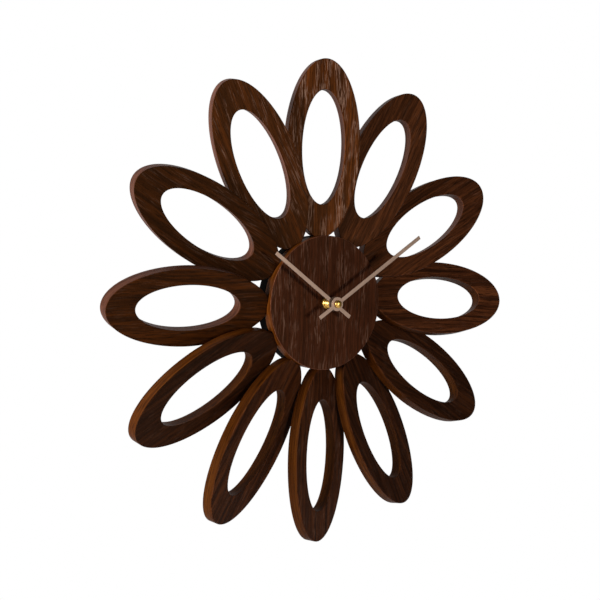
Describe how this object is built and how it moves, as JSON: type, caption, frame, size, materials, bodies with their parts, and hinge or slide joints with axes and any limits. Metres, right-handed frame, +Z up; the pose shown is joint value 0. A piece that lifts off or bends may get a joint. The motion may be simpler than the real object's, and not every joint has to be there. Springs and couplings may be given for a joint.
{
  "type": "wall clock",
  "caption": "Flower-shaped wooden wall clock: tilted elliptical ring petals overlap round a plain dial disc, with two slim hands and a quartz movement.",
  "frame": {"origin": "on the axis of the hand shaft, at the wall plane, which is the flat rear face of the movement cover", "axes": "+X to the right as the clock is seen from the front, +Y from the front into the wall, +Z up; the dial faces -Y"},
  "size_m": [0.4, 0.0457, 0.4],
  "materials": {
    "walnut_veneer": "satin lacquered dark walnut veneer, grain along each petal",
    "beech": "bare beech dowel",
    "black_board": "board painted matt black",
    "champagne_metal": "satin champagne finish",
    "brass": "polished",
    "steel": "zinc plated",
    "black_plastic": "fine spark-eroded texture",
    "white_plastic": "moulded acetal",
    "rubber": "matt",
    "copper_wire": "enamelled copper wire",
    "circuit_board": "green solder mask",
    "battery_jacket": "plain printed jacket with no words"
  },
  "bodies": {
    "clock_frame": {"petal_01": "walnut_veneer", "petal_02": "walnut_veneer", "petal_03": "walnut_veneer", "petal_04": "walnut_veneer", "petal_05": "walnut_veneer", "petal_06": "walnut_veneer", "petal_07": "walnut_veneer", "petal_08": "walnut_veneer", "petal_09": "walnut_veneer", "petal_10": "walnut_veneer", "petal_11": "walnut_veneer", "petal_12": "walnut_veneer", "petal_dowel_01": "beech", "petal_dowel_02": "beech", "petal_dowel_03": "beech", "petal_dowel_04": "beech", "petal_dowel_05": "beech", "petal_dowel_06": "beech", "petal_dowel_07": "beech", "petal_dowel_08": "beech", "petal_dowel_09": "beech", "petal_dowel_10": "beech", "petal_dowel_11": "beech", "petal_dowel_12": "beech", "dial_disc": "walnut_veneer", "hub_block": "black_board", "dial_screw_1": "steel", "dial_screw_2": "steel", "dial_screw_3": "steel", "dial_screw_4": "steel", "hanger_plate": "steel", "hanger_screw_left": "steel", "hanger_screw_right": "steel", "movement_case": "black_plastic", "movement_cover": "black_plastic", "middle_plate": "black_plastic", "threaded_bushing": "brass", "bushing_nut": "brass", "rubber_washer": "rubber", "stator": "steel", "coil_core": "steel", "coil": "copper_wire", "circuit_board": "circuit_board", "quartz_crystal": "steel", "contact_positive": "steel", "contact_negative": "steel"},
    "minute_work": {"minute_arbor": "brass", "centre_wheel": "white_plastic", "minute_hand": "champagne_metal", "minute_hand_nut": "brass"},
    "hour_work": {"hour_wheel": "white_plastic", "hour_hand": "champagne_metal", "hour_hand_collet": "brass"},
    "motion_work": {"motion_wheel": "white_plastic", "setting_knob": "black_plastic"},
    "third_arbor": {"third_wheel": "white_plastic"},
    "seconds_arbor": {"seconds_wheel": "white_plastic"},
    "step_arbor": {"step_wheel": "white_plastic"},
    "rotor_arbor": {"rotor": "black_plastic"},
    "battery_cell": {"battery": "battery_jacket"}
  },
  "joints": [
    {"name": "minute_hand_turn", "type": "hinge", "parent": "clock_frame", "child": "minute_work", "pos_m": [0, 0, 0], "axis": [0, 1, 0], "continuous": true},
    {"name": "hour_hand_turn", "type": "hinge", "parent": "clock_frame", "child": "hour_work", "pos_m": [0, 0, 0], "axis": [0, 1, 0], "continuous": true},
    {"name": "setting_knob_turn", "type": "hinge", "parent": "clock_frame", "child": "motion_work", "pos_m": [-0.01039, 0, 0.006], "axis": [0, 1, 0], "continuous": true},
    {"name": "third_wheel_turn", "type": "hinge", "parent": "clock_frame", "child": "third_arbor", "pos_m": [0.0054, 0, 0.00935], "axis": [0, 1, 0], "continuous": true},
    {"name": "seconds_wheel_turn", "type": "hinge", "parent": "clock_frame", "child": "seconds_arbor", "pos_m": [0.0105, 0, 0.01819], "axis": [0, 1, 0], "continuous": true},
    {"name": "step_wheel_turn", "type": "hinge", "parent": "clock_frame", "child": "step_arbor", "pos_m": [0.00189, 0, 0.01894], "axis": [0, 1, 0], "continuous": true},
    {"name": "rotor_turn", "type": "hinge", "parent": "clock_frame", "child": "rotor_arbor", "pos_m": [-0.00648, 0, 0.01821], "axis": [0, 1, 0], "continuous": true},
    {"name": "battery_slide", "type": "slide", "parent": "clock_frame", "child": "battery_cell", "axis": [0, 1, 0], "range_m": [0, 0.03]}
  ],
  "couplings": [
    {"joint": "hour_hand_turn", "follows": "minute_hand_turn", "ratio": 0.083333},
    {"joint": "setting_knob_turn", "follows": "minute_hand_turn", "ratio": -0.33333},
    {"joint": "third_wheel_turn", "follows": "minute_hand_turn", "ratio": -8},
    {"joint": "seconds_wheel_turn", "follows": "minute_hand_turn", "ratio": 60},
    {"joint": "step_wheel_turn", "follows": "minute_hand_turn", "ratio": -300},
    {"joint": "rotor_turn", "follows": "minute_hand_turn", "ratio": 1800}
  ]
}
